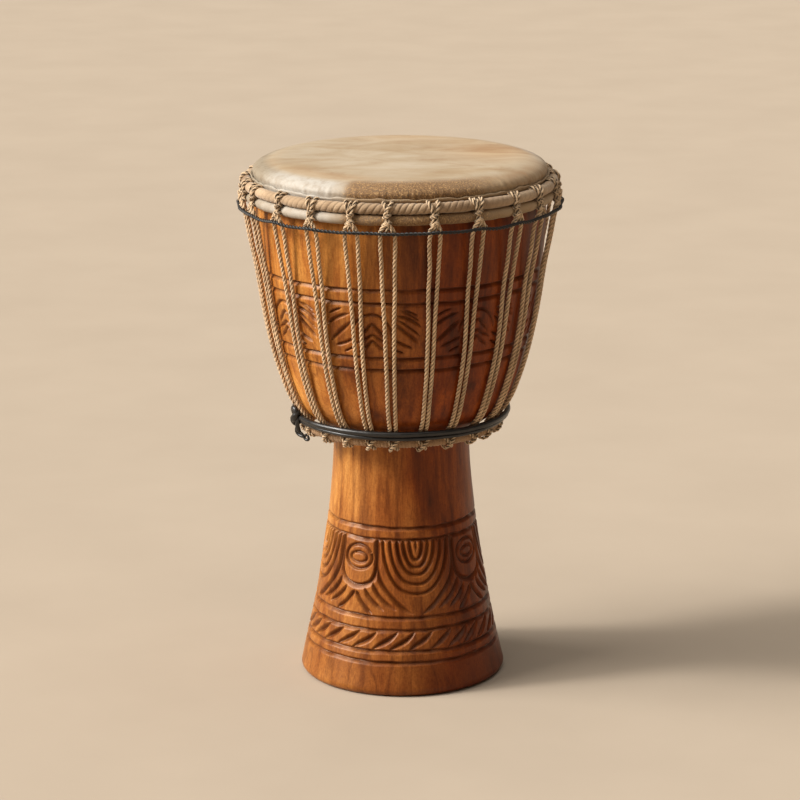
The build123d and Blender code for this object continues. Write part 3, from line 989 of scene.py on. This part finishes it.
# A hitch strand round the bottom ring: angle round the ring, share of its reach to one side.
LOWER_HITCH = (
    (70, 0.8), (42, 1.0), (12, 0.55), (-12, 0.1), (-32, -0.35), (-55, -0.75), (-85, -1.0), (-125, -0.9),
    (-165, -0.8),
)


def make_bottom_ring():
    """The cord-wound bottom ring and its crossed hitches."""
    cols, sides = 1700, 26
    azimuth = np.arange(cols) * 360 / cols
    a = np.radians(azimuth)[None, :]
    t = (np.arange(sides) * TAU / sides)[:, None]
    turns = WINDING_TURNS * a + 1.0 * t + 0.8 * np.sin(9 * a)
    groove = (1 - np.abs(np.sin(turns / 2))) ** 2
    full = LOWER[2] - 0.2 - 0.9 * groove + wobble(a, (23, 37, 61, 83), 0.22, 91)
    radius = LOWER[0] + full * np.cos(t)
    height = LOWER[1] + full * np.sin(t)
    names = ("bottom_ring_winding", WRAP, "bottom_ring_wrap", "ring_rope_wrap")
    round_piece(radius, height, azimuth, *names)

    build = Builder()
    for k, azimuth in enumerate(HITCHES):
        rng = np.random.default_rng(500 + k)
        for side in (-1, 1):
            line = []
            wide, low = rng.uniform(4.4, 5.6), rng.uniform(2.8, 4.2)
            out = 6.5 + 0.5 * side
            for angle, share in LOWER_HITCH:
                c, s = math.cos(math.radians(angle)), math.sin(math.radians(angle))
                across = side * share * (wide if share > 0 else low) + rng.uniform(-0.2, 0.2)
                line.append((LOWER[0] + out * c, across, LOWER[1] + out * s))
            lay(build, line, 0.8, azimuth, rng, 1.75, 7.5, 2, 7)
    build.piece("bottom_ring_hitches", LOOP, "bottom_hitches", "loop_cord")


# The low cord's two turns as (radius, height, cord radius, seed).
LOW_TURNS = ((101.5, 258.3, 2.7, 17), (100.5, 254.2, 2.0, 37))
# Its knot and tails: cord radius and points as (radius, offset from KNOT_AZIMUTH, height).
KNOT_AZIMUTH = -71.5
KNOT = (
    (2.6, [(102.0, -5.4, 256.0), (104.8, -4.6, 261.5), (106.4, -0.8, 266.6), (106.0, 3.0, 266.0),
           (105.6, 3.8, 260.6), (106.4, 0.8, 256.0), (105.6, -3.2, 254.4), (103.6, -4.9, 258.6),
           (101.0, -2.5, 261.5)]),
    (2.5, [(102.4, 5.0, 264.0), (105.8, 4.4, 261.4), (107.4, 0.8, 258.0), (106.6, -3.0, 253.8),
           (103.6, -4.2, 250.4), (101.0, -1.5, 252.0)]),
    (2.2, [(103.6, 4.2, 257.5), (104.2, 3.0, 251.6), (103.2, 1.4, 246.6), (101.6, 0.6, 242.8)]),
    (1.5, [(102.6, -1.2, 249.0), (103.4, -3.4, 245.2), (102.8, -4.0, 241.6), (100.8, -1.4, 239.2),
           (98.2, 2.8, 238.8), (96.4, 6.2, 241.2)]),
    (1.3, [(101.0, 1.0, 243.0), (98.8, 4.0, 239.8), (96.8, 7.2, 236.4), (95.4, 9.4, 237.2),
           (95.8, 8.2, 240.6)]),
)


def make_black_cords():
    """The twine under the rings, and the two turns and the knot at the waist."""
    azimuth = np.arange(0, 360, 0.45)
    a = np.radians(azimuth)
    cinch = pinch(azimuth, 3.4)
    radius = 150.5 + 1.7 * cinch + wobble(a, (3, 7, 23, 31), 0.3, 15)
    height = 457.0 + 0.9 * cinch + wobble(a, (2, 5, 11, 19, 27), 0.6, 16)
    build = Builder()
    build.rope(all_round(radius, height, azimuth), 1.75, 8.0, 2, 8, closed=True)
    build.piece("top_black_twine", TOP_BLACK, "top_binding_cord", "black_cord")

    azimuth = np.arange(0, 360, 1.0)
    a = np.radians(azimuth)
    build = Builder()
    for out, level, thick, seed in LOW_TURNS:
        radius = out + wobble(a, (5, 9, 22), 0.25, seed)
        height = level + wobble(a, (2, 3, 7), 0.35, seed + 1)
        path = all_round(radius, height, azimuth)
        build.tube(path, thick + wobble(a, (6, 13), 0.12, seed + 2), 16, closed=True)
    for radius, points in KNOT:
        line = placed(smooth_path(points, 0.7), KNOT_AZIMUTH)
        end = np.linspace(0, 1, len(line))
        taper = radius * (1 - 0.25 * np.abs(2 * end - 1) ** 6)
        build.tube(line, taper, 14)
    build.piece("low_black_cord", LOW_BLACK, "low_binding_cord", "black_cord")


make_shell()
make_drumhead()
make_crown_wrap()
make_tension_ropes()
make_crown_loops()
make_bottom_ring()
make_black_cords()

# The steel rods keep their CAD shape.
for node in ("crown_ring_rod", "flesh_ring_rod", "bottom_ring_rod"):
    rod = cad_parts[node]
    if not rod.material_slots:
        rod.data.materials.append(STEEL)
    for slot in rod.material_slots:
        slot.material = STEEL

# ---- stage ------------------------------------------------------------------
# A flat floor that curves up far out, so that no edge shows: (radius, height), here in metres.
FLOOR_PROFILE = [
    (8.0, 0.0), (9.0, 0.0), (10.0, 0.03), (11.0, 0.14), (12.0, 0.36), (13.0, 0.72), (14.0, 1.25),
    (15.0, 2.0),
]
FLOOR_SIDES = 96
turn = np.arange(FLOOR_SIDES) * TAU / FLOOR_SIDES
floor_verts = [(0.0, 0.0, 0.0)]
floor_faces = []
for ring, (radius, height) in enumerate(FLOOR_PROFILE):
    start = 1 + ring * FLOOR_SIDES
    floor_verts += [(radius * math.cos(a), radius * math.sin(a), height) for a in turn]
    for k in range(FLOOR_SIDES):
        after = (k + 1) % FLOOR_SIDES
        if ring == 0:
            floor_faces.append((0, start + k, start + after))
        else:
            inner = start - FLOOR_SIDES
            floor_faces.append((inner + k, start + k, start + after, inner + after))
floor_mesh = bpy.data.meshes.new("floor")
floor_mesh.from_pydata(floor_verts, [], floor_faces)
floor_mesh.polygons.foreach_set("use_smooth", np.ones(len(floor_faces), bool))
floor_mesh.materials.append(floor_material())
floor = in_scene("floor", floor_mesh)


def sun_light(name, azimuth, elevation, strength, softness, colour):
    """A distant soft light. softness is its apparent width in degrees."""
    lamp = bpy.data.lights.new(name, "SUN")
    lamp.energy = strength
    lamp.angle = math.radians(softness)
    lamp.color = colour
    piece = in_scene(name, lamp)
    a, e = math.radians(azimuth), math.radians(elevation)
    toward = Vector((math.sin(a) * math.cos(e), -math.cos(a) * math.cos(e), math.sin(e)))
    piece.location = toward * 3
    piece.rotation_euler = (-toward).to_track_quat("-Z", "Y").to_euler()


KEY_AZIMUTH, KEY_ELEVATION = -81, 34
KEY_COLOUR = (1.0, 0.965, 0.91)
sun_light("key", KEY_AZIMUTH, KEY_ELEVATION, 4.1, 42, KEY_COLOUR)
sun_light("key_core", KEY_AZIMUTH, KEY_ELEVATION, 2.2, 10, KEY_COLOUR)
sun_light("overhead", -70, 80, 1.55, 80, (1.0, 0.96, 0.90))
world = bpy.data.worlds.new("studio")
world.use_nodes = True
background = world.node_tree.nodes["Background"]
background.inputs["Color"].default_value = (1.0, 0.93, 0.84, 1)
background.inputs["Strength"].default_value = 0.10
bpy.context.scene.world = world
bpy.context.scene.view_settings.view_transform = "Standard"

# ---- camera -----------------------------------------------------------------
FOCAL_LENGTH = 140.2
CAMERA_PLACE = (-0.0011, -2.868, 1.0239)
LOOK_DOWN = 14.824
ROLL = -0.31
camera_data = bpy.data.cameras.new("camera")
camera_data.sensor_width = 36.0
camera_data.lens = FOCAL_LENGTH
camera_data.clip_end = 100.0
camera = in_scene("camera", camera_data)
place = Matrix.Translation(CAMERA_PLACE)
pitch = Matrix.Rotation(math.radians(90 - LOOK_DOWN), 4, "X")
roll = Matrix.Rotation(math.radians(ROLL), 4, "Z")
camera.matrix_world = place @ pitch @ roll
bpy.context.scene.camera = camera
